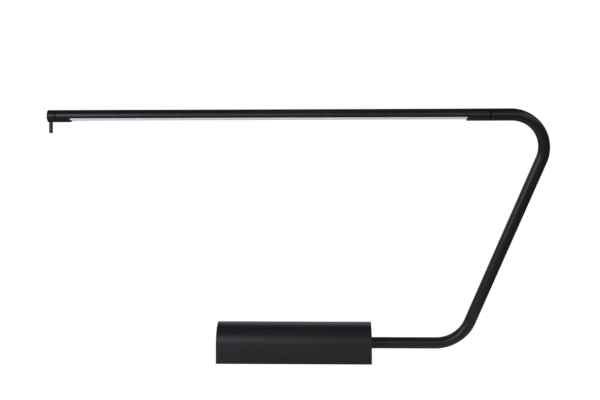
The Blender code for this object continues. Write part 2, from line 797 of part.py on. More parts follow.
def diffuser(head):
    """The opal strip: a flange inside the housing, a neck, and a rounded lip below the notch's edges."""
    lip_radius = TUBE_RADIUS - 0.25 * MM
    lip_top = NOTCH_DEPTH_Z - THIN_GAP
    start = math.degrees(math.asin(lip_top / lip_radius))
    end = math.degrees(math.asin(DIFFUSER_BOTTOM_Z / lip_radius))
    half = [(4.2 * MM, -1.7 * MM), (4.2 * MM, -2.5 * MM), (3.9 * MM, -2.7 * MM), (3.9 * MM, lip_top)]
    half += arc((0, 0), lip_radius, start, end, 6)
    outline = [(-y, z) for y, z in half] + half[::-1]
    strip = extruded("diffuser", "opal", [outline], NOTCH_LEFT + 0.2 * MM, NOTCH_RIGHT - 0.2 * MM)
    place(strip, head, rotation=SECTION_ALONG_X)


def bar_end_parts(head):
    """The plug and the dimmer behind it, and the short leads at the bar's two ends."""
    plug_left = HOUSING_LEFT + GAP
    plug = ring("end_plug", "black_steel", 2.3 * MM, HOUSING_BORE - GAP, plug_left, plug_left + 3.5 * MM)
    dimmer_left = plug_left + 3.5 * MM + GAP
    dimmer_right = NOTCH_LEFT - 1.5 * MM
    dimmer = rod("dimmer_body", "grey_plastic", 4.6 * MM, dimmer_left, dimmer_right, 24)
    board_left, board_right = NOTCH_LEFT + 4 * MM, NOTCH_RIGHT - 4 * MM
    dimmer_lead = rod("dimmer_lead", "blue_lead", 0.8 * MM, dimmer_right + GAP, board_left - GAP, 10)
    lead_end = SWIVEL_X - 14 * MM - 2 * MM
    head_lead = rod("head_lead", "brown_lead", 1.2 * MM, board_right + GAP, lead_end, 10)
    for piece in (plug, dimmer, dimmer_lead, head_lead):
        place(piece, head, rotation=TURNED_ALONG_X)


# Dimmer knob, about the bar's axis


def knob_parts(knob):
    """Its shaft, the washer in the joint's gap, the cap, and the lever whose stud clamps them together."""
    bore = SHAFT_RADIUS + GAP
    shaft_left = KNOB_LEFT + CAP_END_THICKNESS + 2 * GAP
    shaft = rod("dimmer_shaft", "bright_steel", SHAFT_RADIUS, shaft_left, HOUSING_LEFT + 3.8 * MM)
    washer_left, washer_right = KNOB_RIGHT + THIN_GAP, HOUSING_LEFT - THIN_GAP
    washer = ring("knob_washer", "black_rubber", bore, JOINT_WASHER_RADIUS, washer_left, washer_right)
    cap = turned(
        "knob_cap",
        "black_coat",
        (
            (bore, KNOB_RIGHT),
            (TUBE_RADIUS, KNOB_RIGHT),
            (TUBE_RADIUS, KNOB_LEFT + KNOB_CHAMFER),
            (TUBE_RADIUS - KNOB_CHAMFER, KNOB_LEFT),
            (0, KNOB_LEFT),
            (0, KNOB_LEFT + CAP_END_THICKNESS),
            (bore, KNOB_LEFT + CAP_END_THICKNESS),
        ),
        True,
        FINE_STEPS,
    )
    for piece in (shaft, washer, cap):
        place(piece, knob, rotation=TURNED_ALONG_X)
    lever_x = KNOB_LEFT + LEVER_INSET
    hole_radius = LEVER_STUD_RADIUS + THIN_GAP
    hole = rod("hole", "black_coat", hole_radius, -TUBE_RADIUS - 1 * MM, -SHAFT_RADIUS, 12)
    place(hole, knob, (lever_x, 0, 0))
    combine(cap, hole, "DIFFERENCE")
    shoulder = -TUBE_RADIUS - THIN_GAP
    stud_top = -SHAFT_RADIUS - GAP
    profile = [(0, stud_top), (LEVER_STUD_RADIUS, stud_top), (LEVER_STUD_RADIUS, shoulder)]
    profile += [(LEVER_RADIUS, shoulder)]
    profile += arc((LEVER_RADIUS - LEVER_EDGE, LEVER_EDGE - LEVER_REACH), LEVER_EDGE, 0, -90, 3)
    profile += [(0, -LEVER_REACH)]
    place(turned("knob_lever", "black_coat", profile, False, 20), knob, (lever_x, 0, 0))


clear_scene()
parts = new_collection(COLLECTION)
cutters = new_collection(f"{COLLECTION}_cutters")

base_cover()
cover_screws()
end_plates()
end_plate_screws()
mounting_plate()
cable_grommet()
terminal_block()
terminal_screws()
led_driver()
driver_screws()
inner_leads()
earth_screw()
pivot_bracket()
bracket_screws()
pivot_bushes()

arm_axis = empty("arm_axis", None, (0, 0, PIVOT_Z), (ARM_LEAN, 0, 0))
arm_tube(arm_axis)
arm_cable(arm_axis)
arm_pivot_parts(arm_axis)
arm_top_axis = empty("arm_top_axis", arm_axis, (0, 0, bar_height()))
swivel(arm_top_axis)

head_axis = empty("head_axis", arm_axis, (0, 0, bar_height()), (-ARM_LEAN, 0, 0))
bar_housing(head_axis)
swivel_bush(head_axis)
heat_sink_bar(head_axis)
led_board(head_axis)
diffuser(head_axis)
bar_end_parts(head_axis)

knob_axis = empty("knob_axis", head_axis, (0, 0, 0))
knob_parts(knob_axis)

for piece in parts.objects:
    if piece.type == "MESH":
        smooth(piece.data)
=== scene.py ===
"""The picture light's looks: fine shells, tube, bar and knob on the CAD frame, with procedural finishes."""

import json
import math

import bmesh
import bpy
from mathutils import Matrix, Vector

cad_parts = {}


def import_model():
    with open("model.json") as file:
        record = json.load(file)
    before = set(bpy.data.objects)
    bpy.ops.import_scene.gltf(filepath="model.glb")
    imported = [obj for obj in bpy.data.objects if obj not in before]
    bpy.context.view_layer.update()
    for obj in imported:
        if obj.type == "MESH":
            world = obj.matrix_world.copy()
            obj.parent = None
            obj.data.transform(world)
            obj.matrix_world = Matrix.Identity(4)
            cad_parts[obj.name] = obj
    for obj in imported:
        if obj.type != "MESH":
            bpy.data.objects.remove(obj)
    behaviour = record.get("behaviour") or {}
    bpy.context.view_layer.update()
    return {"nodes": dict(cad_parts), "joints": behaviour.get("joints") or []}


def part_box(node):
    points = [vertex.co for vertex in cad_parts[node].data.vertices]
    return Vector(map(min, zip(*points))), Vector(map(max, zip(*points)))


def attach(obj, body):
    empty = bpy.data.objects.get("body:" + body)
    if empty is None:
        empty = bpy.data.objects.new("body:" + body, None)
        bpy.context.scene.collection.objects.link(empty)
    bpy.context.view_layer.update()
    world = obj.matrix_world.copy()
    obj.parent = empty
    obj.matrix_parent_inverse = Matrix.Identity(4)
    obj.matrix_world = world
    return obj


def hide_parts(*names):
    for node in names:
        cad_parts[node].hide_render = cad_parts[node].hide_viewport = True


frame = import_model()

MM = 0.001
FINE = 96
SHARP = math.radians(32)

# Places and sizes read from the frame
joints = {joint["name"]: joint for joint in frame["joints"]}
PIVOT = Vector(joints["arm_swing"]["pos_m"])
SWIVEL = Vector(joints["head_turn"]["pos_m"])
BASE_LOW, BASE_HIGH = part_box("base_cover")
BASE_RADIUS = (BASE_HIGH.y - BASE_LOW.y) / 2
HOUSING_LOW, HOUSING_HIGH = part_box("bar_housing")
TUBE_RADIUS = (HOUSING_HIGH.z - HOUSING_LOW.z) / 2
DIFFUSER_LOW, DIFFUSER_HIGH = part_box("diffuser")
CAP_LOW, CAP_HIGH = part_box("knob_cap")
LEVER_LOW, LEVER_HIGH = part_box("knob_lever")
PLATE_LOW, PLATE_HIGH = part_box("mounting_plate")
ARM_LEAN = math.atan2(PIVOT.y - SWIVEL.y, SWIVEL.z - PIVOT.z)
BAR_HEIGHT = math.hypot(SWIVEL.y - PIVOT.y, SWIVEL.z - PIVOT.z)

# Sizes that no box gives
COVER_WALL = 2 * MM
TUBE_WALL = 1.2 * MM
HOUSING_WALL = 1.1 * MM
END_CAP_HOLE = 8.1 * MM
GROMMET_HOLE = 5.3 * MM
GROMMET_BORE = 3.6 * MM
TAPPED_HOLE = 1.8 * MM
KEYHOLE_X = 68 * MM
KEYHOLE_HEAD = 4.5 * MM
KEYHOLE_SLOT = 2.4 * MM
KEYHOLE_REACH = 8 * MM
KEYHOLE_Y = -3 * MM
BUSH_BODY = 7.8 * MM
SCREW_REACH = 6 * MM
HEAD_TO_SHANK = 1.85
DIMMER_BORE = 2.3 * MM
WASHER_BORE = {"arm": 4.0 * MM, "knob": DIMMER_BORE}
LED_HEIGHT = 0.6 * MM
NOTCH_DEPTH = -2.75 * MM
NOTCH_CLEARANCE = 0.2 * MM
LOWER_BEND_RADIUS = 38.1 * MM
UPPER_BEND_RADIUS = 35.5 * MM
LEG_ANGLE = math.radians(70)
LOWER_SQUEEZE = 0.04
UPPER_SQUEEZE = 0.068

# Where the countersunk screws go in, and from which side
SIDES = ("left", "right")
ENDS = ("front", "back")
BACK = Vector((0, 1, 0))
WALLWARD = Vector((0, 0, -1))

# Strengths of the world, and of the floor near and far in glossy and in diffuse rays
AMBIENT = 0.045
FLOOR_NEAR = (0.07, 0.66)
FLOOR_FAR = (0.02, 0.50)


# Mesh helpers


def arc(centre, radius, start, end, steps):
    angles = [math.radians(start + (end - start) * i / steps) for i in range(steps + 1)]
    return [(centre[0] + radius * math.cos(a), centre[1] + radius * math.sin(a)) for a in angles]


def circle(centre, radius, steps=48):
    return arc(centre, radius, 0, 360, steps)[:-1]


def link(name, data, matrix=None):
    """A new object at the origin, its mesh moved by the matrix."""
    obj = bpy.data.objects.new(name, data)
    bpy.context.scene.collection.objects.link(obj)
    if matrix:
        data.transform(matrix)
    return obj


def apply_modifiers(obj):
    bpy.context.view_layer.update()
    evaluated = obj.evaluated_get(bpy.context.evaluated_depsgraph_get())
    mesh = bpy.data.meshes.new_from_object(evaluated)
    obj.modifiers.clear()
    obj.data = mesh


def remove(obj):
    bpy.data.objects.remove(obj, do_unlink=True)


def shade(obj):
    obj.data.shade_smooth()
    obj.data.set_sharp_from_angle(angle=SHARP)
    return obj


def rounded(obj, width, segments=3, angle=40):
    """Small radii along the sharp edges."""
    bevel = obj.modifiers.new("edges", "BEVEL")
    bevel.width = width
    bevel.segments = segments
    bevel.limit_method = "ANGLE"
    bevel.angle_limit = math.radians(angle)
    apply_modifiers(obj)


# A frame whose Z is the world's X: turned pieces, and outlines drawn as (y, z)
ALONG_X = Matrix(((0, 0, 1, 0), (1, 0, 0, 0), (0, 1, 0, 0), (0, 0, 0, 1)))


def on_axis_x(point):
    """ALONG_X, moved so that its axis goes through the point's y and z."""
    return Matrix.Translation((0, point[1], point[2])) @ ALONG_X


def lathe(name, profile, matrix, steps=FINE):
    """A closed solid of revolution about local Z.

    The profile is a closed loop of (radius, height) points, or an open one whose two ends lie on the axis.
    """
    work = bmesh.new()
    verts = [work.verts.new((radius, 0, height)) for radius, height in profile]
    edges = [work.edges.new(pair) for pair in zip(verts, verts[1:])]
    if profile[0][0] > 0 and profile[-1][0] > 0:
        edges.append(work.edges.new((verts[-1], verts[0])))
    bmesh.ops.spin(
        work,
        geom=verts + edges,
        cent=(0, 0, 0),
        axis=(0, 0, 1),
        angle=math.tau,
        steps=steps,
        use_merge=True,
    )
    bmesh.ops.remove_doubles(work, verts=work.verts, dist=1e-7)
    bmesh.ops.recalc_face_normals(work, faces=work.faces)
    mesh = bpy.data.meshes.new(name)
    work.to_mesh(mesh)
    work.free()
    return link(name, mesh, matrix)


def soft_profile(corners, radius, steps=3):
    """A (radius, height) outline with its corners rounded. A corner is (r, z) or (r, z, its own radius)."""
    points = []
    count = len(corners)
    for i, corner in enumerate(corners):
        here = Vector(corner[:2])
        size = corner[2] if len(corner) > 2 else radius
        before = Vector(corners[i - 1][:2]) - here
        after = Vector(corners[(i + 1) % count][:2]) - here
        if size == 0:
            points.append(tuple(here))
            continue
        size = min(size, before.length * 0.45, after.length * 0.45)
        start, end = here + before.normalized() * size, here + after.normalized() * size
        for k in range(steps + 1):
            t = k / steps
            point = start.lerp(here, t).lerp(here.lerp(end, t), t)
            points.append(tuple(point))
    return points


def extrude(name, outlines, low, high, matrix=None):
    """Flat outlines, the later ones holes in the first, extruded from low to high along local Z."""
    curve = bpy.data.curves.new(name, "CURVE")
    curve.dimensions = "2D"
    curve.fill_mode = "BOTH"
    curve.extrude = (high - low) / 2
    for outline in outlines:
        spline = curve.splines.new("POLY")
        spline.points.add(len(outline) - 1)
        for point, (x, y) in zip(spline.points, outline):
            point.co = (x, y, 0, 1)
        spline.use_cyclic_u = True
    flat = link(f"{name}_flat", curve)
    bpy.context.view_layer.update()
    mesh = bpy.data.meshes.new_from_object(flat.evaluated_get(bpy.context.evaluated_depsgraph_get()))
    remove(flat)
    work = bmesh.new()
    work.from_mesh(mesh)
    bmesh.ops.remove_doubles(work, verts=work.verts, dist=1e-7)
    bmesh.ops.recalc_face_normals(work, faces=work.faces)
    bmesh.ops.translate(work, verts=work.verts, vec=(0, 0, (low + high) / 2))
    work.to_mesh(mesh)
    work.free()
    return link(name, mesh, matrix)


def box_mesh(name, low, high, matrix=None):
    work = bmesh.new()
    low, high = Vector(low), Vector(high)
    size = Matrix.Diagonal((*(high - low), 1))
    bmesh.ops.create_cube(work, size=1, matrix=Matrix.Translation((low + high) / 2) @ size)
    mesh = bpy.data.meshes.new(name)
    work.to_mesh(mesh)
    work.free()
    return link(name, mesh, matrix)


def subtract(obj, tools):
    for tool in tools:
        modifier = obj.modifiers.new("cut", "BOOLEAN")
        modifier.operation = "DIFFERENCE"
        modifier.object = tool
    apply_modifiers(obj)
    for tool in tools:
        remove(tool)


# Materials


def colour(red, green, blue):
    return (red, green, blue, 1.0)


class Finish:
    """A Principled material with its node tree at hand."""

    def __init__(self, name, base, metallic=0.0, roughness=0.4, specular=0.5):
        self.material = bpy.data.materials.new(name)
        self.material.use_nodes = True
        self.nodes = self.material.node_tree.nodes
        self.links = self.material.node_tree.links
        self.shader = self.nodes["Principled BSDF"]
        self.shader.inputs["Base Color"].default_value = base
        self.shader.inputs["Metallic"].default_value = metallic
        self.shader.inputs["Roughness"].default_value = roughness
        self.shader.inputs["Specular IOR Level"].default_value = specular
        self.place = self.nodes.new("ShaderNodeTexCoord").outputs["Object"]

    def noise(self, scale, detail, stretch=None):
        """A noise texture in object space, stretched along an axis if asked."""
        noise = self.nodes.new("ShaderNodeTexNoise")
        noise.inputs["Scale"].default_value = scale
        noise.inputs["Detail"].default_value = detail
        source = self.place
        if stretch:
            mapping = self.nodes.new("ShaderNodeMapping")
            mapping.inputs["Scale"].default_value = stretch
            self.links.new(source, mapping.inputs["Vector"])
            source = mapping.outputs["Vector"]
        self.links.new(source, noise.inputs["Vector"])
        return noise.outputs["Fac"]

    def spread(self, value, low, high, from_low=0.3, from_high=0.7):
        """The value brought into a range."""
        node = self.nodes.new("ShaderNodeMapRange")
        node.inputs["From Min"].default_value = from_low
        node.inputs["From Max"].default_value = from_high
        node.inputs["To Min"].default_value = low
        node.inputs["To Max"].default_value = high
        self.links.new(value, node.inputs["Value"])
        return node.outputs["Result"]

    def vary_colour(self, value, first, second):
        ramp = self.nodes.new("ShaderNodeValToRGB")
        ramp.color_ramp.elements[0].position = 0.35
        ramp.color_ramp.elements[0].color = first
        ramp.color_ramp.elements[1].position = 0.65
        ramp.color_ramp.elements[1].color = second
        self.links.new(value, ramp.inputs["Fac"])
        self.links.new(ramp.outputs["Color"], self.shader.inputs["Base Color"])

    def vary_roughness(self, value, low, high):
        self.links.new(self.spread(value, low, high), self.shader.inputs["Roughness"])

    def bump(self, value, depth, strength):
        """Relief, its depth in metres."""
        bump = self.nodes.new("ShaderNodeBump")
        bump.inputs["Strength"].default_value = strength
        bump.inputs["Distance"].default_value = depth
        self.links.new(value, bump.inputs["Height"])
        self.links.new(bump.outputs["Normal"], self.shader.inputs["Normal"])


def black_coat(name, roughness):
    """Satin black powder coat: a fine orange peel, and a sheen that wanders slightly."""
    finish = Finish(name, colour(0.0160, 0.0097, 0.0147), 0.0, roughness, 0.5)
    finish.vary_colour(finish.noise(60, 2), colour(0.0148, 0.0088, 0.0136), colour(0.0172, 0.0106, 0.0158))
    finish.vary_roughness(finish.noise(220, 3), roughness - 0.035, roughness + 0.035)
    finish.bump(finish.noise(1500, 2), 0.00002, 0.12)
    return finish.material


def black_steel():
    finish = Finish("blackened_steel", colour(0.02, 0.02, 0.022), 0.6, 0.5)
    finish.vary_roughness(finish.noise(900, 3), 0.42, 0.58)
    finish.bump(finish.noise(3000, 2), 0.00002, 0.3)
    return finish.material


def brushed(name, base, roughness, streak):
    """Bare or plated metal with fine drawn streaks along one axis."""
    finish = Finish(name, base, 1.0, roughness)
    streaks = finish.noise(900, 4, streak)
    darker = tuple(0.82 * c for c in base[:3])
    finish.vary_colour(streaks, (*darker, 1.0), base)
    finish.vary_roughness(streaks, roughness - 0.06, roughness + 0.1)
    finish.bump(streaks, 0.00001, 0.3)
    return finish.material


def opal():
    """Opal acrylic, unlit: white, softly translucent, with a satin skin."""
    finish = Finish("opal_acrylic", colour(0.82, 0.785, 0.85), 0.0, 0.34, 0.5)
    finish.vary_colour(finish.noise(35, 2), colour(0.81, 0.775, 0.84), colour(0.83, 0.795, 0.86))
    finish.vary_roughness(finish.noise(300, 2), 0.3, 0.38)
    finish.shader.inputs["Subsurface Weight"].default_value = 0.25
    finish.shader.inputs["Subsurface Radius"].default_value = (1.0, 1.0, 1.0)
    finish.shader.inputs["Subsurface Scale"].default_value = 0.0015
    return finish.material


def moulded(name, base, roughness, grain=1600, specular=0.5):
    """Moulded plastic or rubber with a fine spark-eroded grain."""
    finish = Finish(name, base, 0.0, roughness, specular)
    lighter = tuple(min(1.0, 1.08 * c + 0.002) for c in base[:3])
    finish.vary_colour(finish.noise(120, 2), base, (*lighter, 1.0))
    finish.vary_roughness(finish.noise(500, 2), roughness - 0.05, roughness + 0.05)
    finish.bump(finish.noise(grain, 2), 0.00002, 0.5)
    return finish.material


def led_face(board_low):
    """White solder mask, and the LEDs' yellow phosphor where the surface lies below the board."""
    finish = Finish("led_board_face", colour(0.86, 0.86, 0.83), 0.0, 0.45)
    split = finish.nodes.new("ShaderNodeSeparateXYZ")
    finish.links.new(finish.place, split.inputs["Vector"])
    chip = finish.spread(split.outputs["Z"], 1.0, 0.0, board_low, board_low + 0.1 * MM)
    finish.vary_colour(chip, colour(0.86, 0.86, 0.83), colour(0.85, 0.62, 0.10))
    finish.bump(finish.noise(1400, 2), 0.00001, 0.3)
    return finish.material


BLACK = black_coat("satin_black_coat", 0.32)
CASE_BLACK = black_coat("case_black_coat", 0.42)
BLACK_STEEL = black_steel()
ZINC = brushed("zinc_plated_steel", colour(0.52, 0.53, 0.55), 0.32, (0.05, 1.0, 1.0))
BRIGHT = brushed("bright_steel", colour(0.60, 0.60, 0.61), 0.28, (0.05, 1.0, 1.0))
BRASS = brushed("brass", colour(0.72, 0.53, 0.24), 0.3, (1.0, 1.0, 0.05))
BRONZE = brushed("bush_bronze", colour(0.47, 0.32, 0.17), 0.38, (1.0, 0.05, 1.0))
ALUMINIUM = brushed("drawn_aluminium", colour(0.66, 0.67, 0.68), 0.34, (0.03, 1.0, 1.0))
OPAL = opal()
RUBBER = moulded("black_rubber", colour(0.005, 0.005, 0.005), 0.7, 1600, 0.12)
WHITE_PLASTIC = moulded("white_case_plastic", colour(0.74, 0.74, 0.71), 0.5)
GREY_PLASTIC = moulded("grey_case_plastic", colour(0.16, 0.16, 0.17), 0.5)
FIBRE = moulded("red_fibre", colour(0.28, 0.07, 0.04), 0.75, 2600)
LEAD_BROWN = moulded("brown_lead", colour(0.16, 0.07, 0.03), 0.45, 900)
LEAD_BLUE = moulded("blue_lead", colour(0.03, 0.10, 0.38), 0.45, 900)
LEAD_GREEN = moulded("green_lead", colour(0.08, 0.33, 0.06), 0.45, 900)


def settle(piece, body, material, slot, *nodes):
    """Gives a new piece its finish and its body, and hides the CAD nodes that it stands for."""
    piece.data.materials.clear()
    piece.data.materials.append(material)
    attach(piece, body)
    if nodes:
        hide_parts(*nodes)


# Base


def d_outline(radius, bottom):
    return [(-radius, bottom), (radius, bottom)] + arc((0, PIVOT.z), radius, 0, 180, FINE)


def screw_mouth(low, high, normal):
    """Places local Z along the normal, at the middle of the box's face on that side."""
    centre = (low + high) / 2
    turn = Vector((0, 0, 1)).rotation_difference(normal).to_matrix().to_4x4()
    mouth = [high[i] if normal[i] > 0 else low[i] if normal[i] < 0 else centre[i] for i in range(3)]
    return Matrix.Translation(mouth) @ turn


def countersink(name, node, depth, normal):
    """A cutter for the hole of the countersunk screw at the CAD node, its mouth a little outside the face."""
    low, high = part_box(node)
    radius = (high.x - low.x) / 2 + 0.25 * MM
    profile = [(0, 1 * MM), (radius, 1 * MM), (radius, 0.2 * MM), (radius * 0.5, -radius * 0.5)]
    profile += [(radius * 0.5, -depth), (0, -depth)]
    return lathe(name, profile, screw_mouth(low, high, normal), 40)


def cover_shell():
    inner_radius = BASE_RADIUS - COVER_WALL
    outer = arc((0, PIVOT.z), BASE_RADIUS, 0, 180, FINE)
    inner = arc((0, PIVOT.z), inner_radius, 180, 0, FINE)
    outline = [(BASE_RADIUS, 0)] + outer + [(-BASE_RADIUS, 0), (-inner_radius, 0)] + inner
    outline.append((inner_radius, 0))
    shell = extrude("cover_shell", [outline], BASE_LOW.x, BASE_HIGH.x, ALONG_X)
    rounded(shell, 0.35 * MM)
    tools = [
        countersink("hole", f"cover_screw_{side}", SCREW_REACH, BACK) for side in SIDES
    ]
    subtract(shell, tools)
    settle(shade(shell), "base", CASE_BLACK, "base_coat", "base_cover")


def end_caps():
    for side in SIDES:
        node = f"end_plate_{side}"
        low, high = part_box(node)
        outlines = [d_outline((high.y - low.y) / 2, low.z)]
        if side == "right":
            outlines.append(circle((0, PIVOT.z), END_CAP_HOLE, FINE))
        cap = extrude(f"end_cap_{side}", outlines, low.x, high.x, ALONG_X)
        rounded(cap, 0.4 * MM)
        settle(shade(cap), "base", CASE_BLACK, "base_coat", node)


def keyhole(x):
    """A round hole for a screw's head, with a slot for its shank towards +Y."""
    meet = math.degrees(math.asin(KEYHOLE_SLOT / KEYHOLE_HEAD))
    outline = arc((x, KEYHOLE_Y), KEYHOLE_HEAD, 90 + meet, 450 - meet, 48)
    return outline + arc((x, KEYHOLE_REACH + KEYHOLE_Y), KEYHOLE_SLOT, 0, 180, 24)


def wall_plate():
    outline = [
        (PLATE_LOW.x, PLATE_LOW.y),
        (PLATE_HIGH.x, PLATE_LOW.y),
        (PLATE_HIGH.x, PLATE_HIGH.y),
        (PLATE_LOW.x, PLATE_HIGH.y),
    ]
    outlines = [outline, keyhole(-KEYHOLE_X), keyhole(KEYHOLE_X)]
    grommet_low, grommet_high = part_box("cable_grommet")
    centre = (grommet_low + grommet_high) / 2
    outlines.append(circle((centre.x, centre.y), GROMMET_HOLE))
    tapped = ("earth_screw", "terminal_screw_front", "terminal_screw_back", "driver_screw_left")
    tapped += ("driver_screw_right", "bracket_screw_front", "bracket_screw_back")
    for node in tapped:
        low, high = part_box(node)
        outlines.append(circle(((low.x + high.x) / 2, (low.y + high.y) / 2), TAPPED_HOLE, 32))
    plate = extrude("wall_plate", outlines, PLATE_LOW.z, PLATE_HIGH.z)
    rounded(plate, 0.2 * MM, 2)
    tools = []
    for side in SIDES:
        for end in ENDS:
            node = f"end_plate_screw_{side}_{end}"
            tools.append(countersink("hole", node, SCREW_REACH, WALLWARD))
    subtract(plate, tools)
    settle(shade(plate), "base", ZINC, "zinc_steel", "mounting_plate")


def recess(radius, depth):
    """A cross recess, as two crossed bars that taper down."""
    bars = []
    for turn in (0, 90):
        low, high = (-radius, -0.16 * radius, -depth), (radius, 0.16 * radius, 1 * MM)
        bars.append(box_mesh("bar", low, high, Matrix.Rotation(math.radians(turn + 45), 4, "Z")))
    return bars


def countersunk_screws():
    """The screws seen from behind and below, each with a cross recess."""
    places = [(f"cover_screw_{side}", BACK, BLACK_STEEL) for side in SIDES]
    for side in SIDES:
        for end in ENDS:
            places.append((f"end_plate_screw_{side}_{end}", WALLWARD, ZINC))
    for node, normal, material in places:
        low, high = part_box(node)
        length = abs((high - low).dot(normal))
        head = (high.x - low.x) / 2
        shank = head / HEAD_TO_SHANK
        profile = [(0, 0), (head - 0.12 * MM, 0), (head, -0.12 * MM), (shank, shank - head - 0.12 * MM)]
        profile += [(shank, 0.3 * MM - length), (shank - 0.3 * MM, -length), (0, -length)]
        screw = lathe(node + "_fine", profile, None, 48)
        subtract(screw, recess(0.62 * head, 1.1 * MM))
        screw.data.transform(screw_mouth(low, high, normal))
        slot = "black_steel" if material is BLACK_STEEL else "zinc_steel"
        settle(shade(screw), "base", material, slot, node)


def grommet():
    low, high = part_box("cable_grommet")
    centre = (low + high) / 2
    flange = (high.x - low.x) / 2
    neck, bore = flange - 1.6 * MM, GROMMET_BORE
    step = PLATE_HIGH.z + 0.3 * MM
    corners = [(bore, low.z), (neck, low.z), (neck, step, 0)]
    corners += [(flange, step), (flange, high.z), (bore, high.z)]
    place = Matrix.Translation((centre.x, centre.y, 0))
    ring = lathe("grommet_ring", soft_profile(corners, 0.5 * MM), place, 64)
    settle(shade(ring), "base", RUBBER, "black_rubber", "cable_grommet")


def outer_bush():
    low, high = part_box("pivot_bush_outer")
    bore, body, flange = TUBE_RADIUS + 0.25 * MM, BUSH_BODY, (high.y - low.y) / 2
    step = low.x + 1.7 * MM
    corners = [(bore, high.x), (body, high.x), (body, step, 0)]
    corners += [(flange, step), (flange, low.x), (bore, low.x)]
    bush = lathe("pivot_bush_fine", soft_profile(corners, 0.25 * MM), on_axis_x(PIVOT))
    settle(shade(bush), "base", BRONZE, "bush_bronze", "pivot_bush_outer")


# Arm


def arm_stations():
    """(u, v, direction, squeeze) along the tube's middle, in its own plane: u along X from the base, v up."""
    low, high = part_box("arm_tube")
    drop = UPPER_BEND_RADIUS * (1 + math.cos(LEG_ANGLE))
    rise = LOWER_BEND_RADIUS * (1 - math.cos(LEG_ANGLE))
    leg = (BAR_HEIGHT - drop - rise) / math.sin(LEG_ANGLE)
    at_outermost = (math.pi / 2 - LEG_ANGLE) / (math.pi - LEG_ANGLE)
    outermost = TUBE_RADIUS * (1 - 2 * UPPER_SQUEEZE * math.sin(math.pi * at_outermost))
    top_centre_u = high.x - BASE_HIGH.x - UPPER_BEND_RADIUS - outermost
    bottom_end_u = top_centre_u + (UPPER_BEND_RADIUS - LOWER_BEND_RADIUS) * math.sin(LEG_ANGLE)
    run = bottom_end_u - leg * math.cos(LEG_ANGLE)
    start, end = low.x - BASE_HIGH.x, 2 * SWIVEL.x - HOUSING_HIGH.x - BASE_HIGH.x
    stations = [(start + (run - start) * i / 24, 0.0, 0.0, 0.0) for i in range(25)]
    lower_steps, upper_steps = 36, 56
    for i in range(1, lower_steps + 1):
        t = i / lower_steps
        a = LEG_ANGLE * t
        u, v = run + LOWER_BEND_RADIUS * math.sin(a), LOWER_BEND_RADIUS * (1 - math.cos(a))
        stations.append((u, v, a, LOWER_SQUEEZE * math.sin(math.pi * t)))
    u0, v0 = stations[-1][:2]
    for i in range(1, 25):
        d = leg * i / 24
        stations.append((u0 + d * math.cos(LEG_ANGLE), v0 + d * math.sin(LEG_ANGLE), LEG_ANGLE, 0.0))
    u0, v0 = stations[-1][:2]
    centre = (u0 - UPPER_BEND_RADIUS * math.sin(LEG_ANGLE), v0 + UPPER_BEND_RADIUS * math.cos(LEG_ANGLE))
    for i in range(1, upper_steps + 1):
        t = i / upper_steps
        a = LEG_ANGLE + (math.pi - LEG_ANGLE) * t
        u, v = centre[0] + UPPER_BEND_RADIUS * math.sin(a), centre[1] - UPPER_BEND_RADIUS * math.cos(a)
        stations.append((u, v, a, UPPER_SQUEEZE * math.sin(math.pi * t)))
    u0, v0 = stations[-1][:2]
    stations += [(u0 + (end - u0) * i / 6, v0, math.pi, 0.0) for i in range(1, 7)]
    return stations


def tube_ring(work, station, wall, steps):
    """One ring of the tube: round, but flattened on a bend's outer side and a little wider across."""
    u, v, direction, squeeze = station
    outward = Vector((math.sin(direction), 0, -math.cos(direction)))
    ring = []
    for k in range(steps):
        a = math.tau * k / steps
        flat = 1 - 2 * squeeze if math.cos(a) > 0 else 1.0
        across = 1 + 0.35 * squeeze
        radius = TUBE_RADIUS - wall
        point = outward * (radius * flat * math.cos(a)) + Vector((0, radius * across * math.sin(a), 0))
        ring.append(work.verts.new(Vector((BASE_HIGH.x + u, 0, v)) + point))
    return ring


def arm():
    """The bent tube, hollow and open at both ends."""
    steps = 64
    work = bmesh.new()
    stations = arm_stations()
    skins = [[tube_ring(work, station, wall, steps) for station in stations] for wall in (0.0, TUBE_WALL)]
    for skin in skins:
        for first, second in zip(skin, skin[1:]):
            for k in range(steps):
                n = (k + 1) % steps
                work.faces.new((first[k], first[n], second[n], second[k]))
    for end in (0, -1):
        outer, inner = skins[0][end], skins[1][end]
        for k in range(steps):
            n = (k + 1) % steps
            work.faces.new((outer[k], outer[n], inner[n], inner[k]))
    bmesh.ops.recalc_face_normals(work, faces=work.faces)
    mesh = bpy.data.meshes.new("bent_tube")
    work.to_mesh(mesh)
    work.free()
    lean = Matrix.Translation((0, PIVOT.y, PIVOT.z)) @ Matrix.Rotation(ARM_LEAN, 4, "X")
    tube = link("bent_tube", mesh, lean)
    rounded(tube, 0.25 * MM, 3, 60)
    settle(shade(tube), "arm", BLACK, "arm_coat", "arm_tube")


def joint_washers():
    for node, body in (("swivel_washer", "arm"), ("knob_washer", "knob")):
        low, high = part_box(node)
        outer = (high.y - low.y) / 2
        inner = WASHER_BORE[body]
        corners = [(outer, high.x), (outer, low.x), (inner, low.x), (inner, high.x)]
        ring = lathe(node + "_fine", soft_profile(corners, 0.2 * MM), on_axis_x(SWIVEL))
        settle(shade(ring), body, RUBBER, "black_rubber", node)


# Lamp bar


